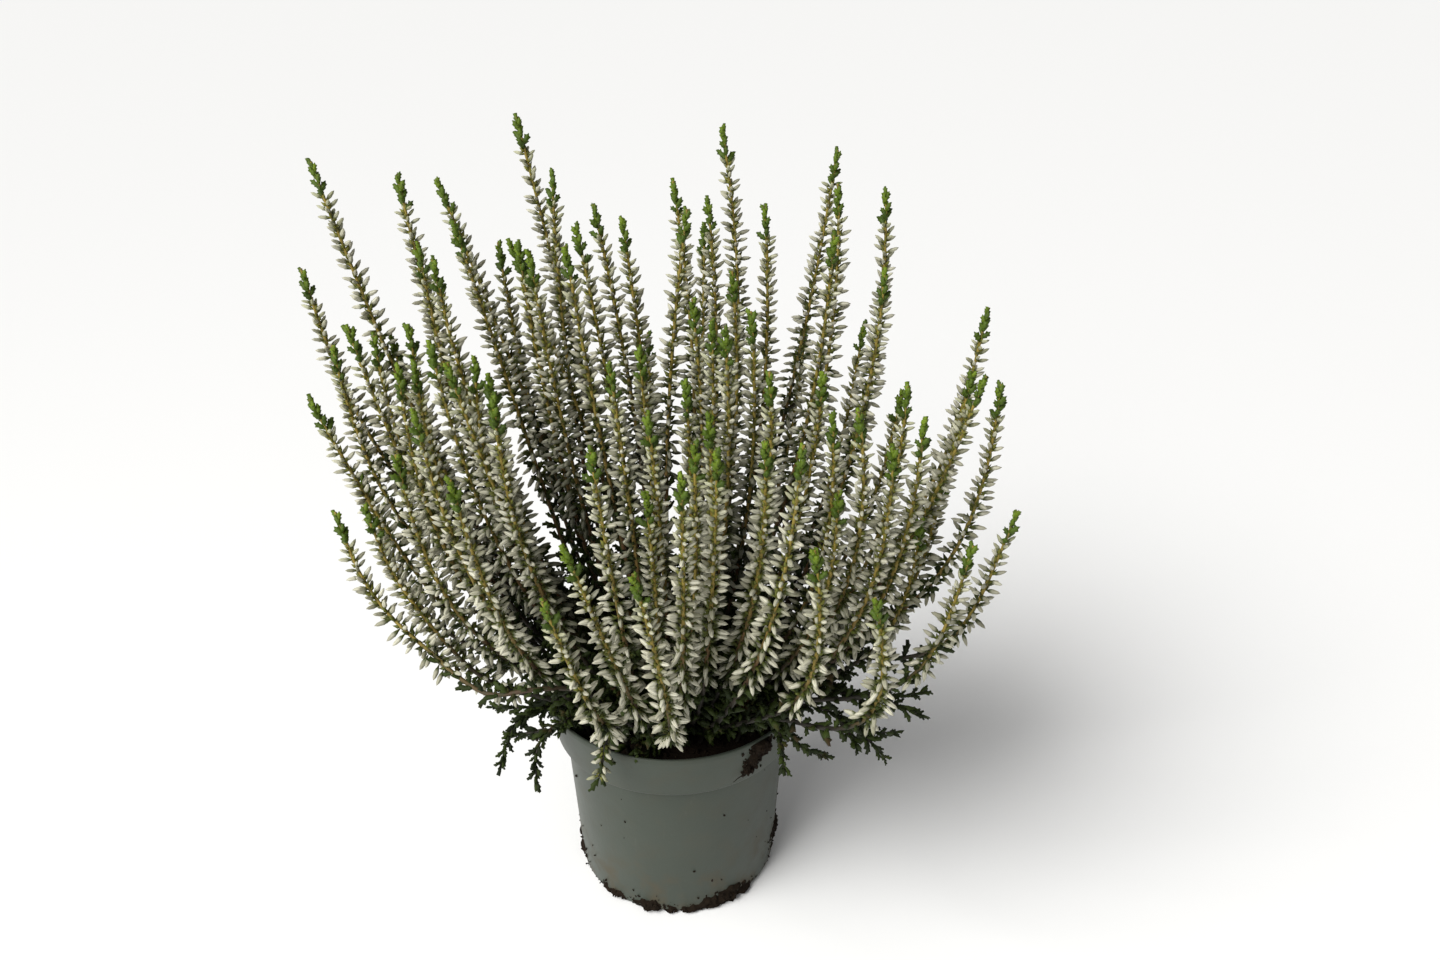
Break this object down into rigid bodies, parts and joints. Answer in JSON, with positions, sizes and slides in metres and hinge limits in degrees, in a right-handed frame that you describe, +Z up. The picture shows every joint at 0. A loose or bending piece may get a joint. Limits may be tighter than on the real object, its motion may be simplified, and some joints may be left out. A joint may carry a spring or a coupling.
{
  "type": "potted heather",
  "caption": "Bud-flowering heather in a round plastic nursery pot: upright spikes of white buds with green tips, leafy twigs and dark soil.",
  "frame": {"origin": "middle of the pot's underside, where it stands", "axes": "+Z up along the pot's axis, -Y towards the front of the plant, +X to its right"},
  "size_m": [0.2985, 0.2275, 0.343],
  "materials": {
    "pot_plastic": "satin grey-green moulded plastic with dust and scuffs",
    "potting_soil": "dark crumbly peat, about as heavy as light wood",
    "flower_buds": "matt white flower buds with green tips, dry and light",
    "green_leaves": "matt dark green scale leaves on thin twigs"
  },
  "bodies": {
    "root": {"pot": "pot_plastic", "soil": "potting_soil", "flowering_spray_01": "flower_buds", "flowering_spray_02": "flower_buds", "flowering_spray_03": "flower_buds", "flowering_spray_04": "flower_buds", "flowering_spray_05": "flower_buds", "flowering_spray_06": "flower_buds", "flowering_spray_07": "flower_buds", "flowering_spray_08": "flower_buds", "flowering_spray_09": "flower_buds", "flowering_spray_10": "flower_buds", "flowering_spray_11": "flower_buds", "flowering_spray_12": "flower_buds", "flowering_spray_13": "flower_buds", "flowering_spray_14": "flower_buds", "flowering_spray_15": "flower_buds", "flowering_spray_16": "flower_buds", "flowering_spray_17": "flower_buds", "flowering_spray_18": "flower_buds", "flowering_spray_19": "flower_buds", "flowering_spray_20": "flower_buds", "flowering_spray_21": "flower_buds", "flowering_spray_22": "flower_buds", "flowering_spray_23": "flower_buds", "flowering_spray_24": "flower_buds", "flowering_spray_25": "flower_buds", "flowering_spray_26": "flower_buds", "flowering_spray_27": "flower_buds", "flowering_spray_28": "flower_buds", "flowering_spray_29": "flower_buds", "flowering_spray_30": "flower_buds", "flowering_spray_31": "flower_buds", "flowering_spray_32": "flower_buds", "flowering_spray_33": "flower_buds", "flowering_spray_34": "flower_buds", "flowering_spray_35": "flower_buds", "flowering_spray_36": "flower_buds", "flowering_spray_37": "flower_buds", "flowering_spray_38": "flower_buds", "flowering_spray_39": "flower_buds", "flowering_spray_40": "flower_buds", "flowering_spray_41": "flower_buds", "flowering_spray_42": "flower_buds", "flowering_spray_43": "flower_buds", "flowering_spray_44": "flower_buds", "flowering_spray_45": "flower_buds", "flowering_spray_46": "flower_buds", "leafy_twig_01": "green_leaves", "leafy_twig_02": "green_leaves", "leafy_twig_03": "green_leaves", "leafy_twig_04": "green_leaves", "leafy_twig_05": "green_leaves", "leafy_twig_06": "green_leaves", "leafy_twig_07": "green_leaves", "leafy_twig_08": "green_leaves", "leafy_twig_09": "green_leaves", "leafy_twig_10": "green_leaves", "leafy_twig_11": "green_leaves", "leafy_twig_12": "green_leaves"}
  },
  "joints": []
}
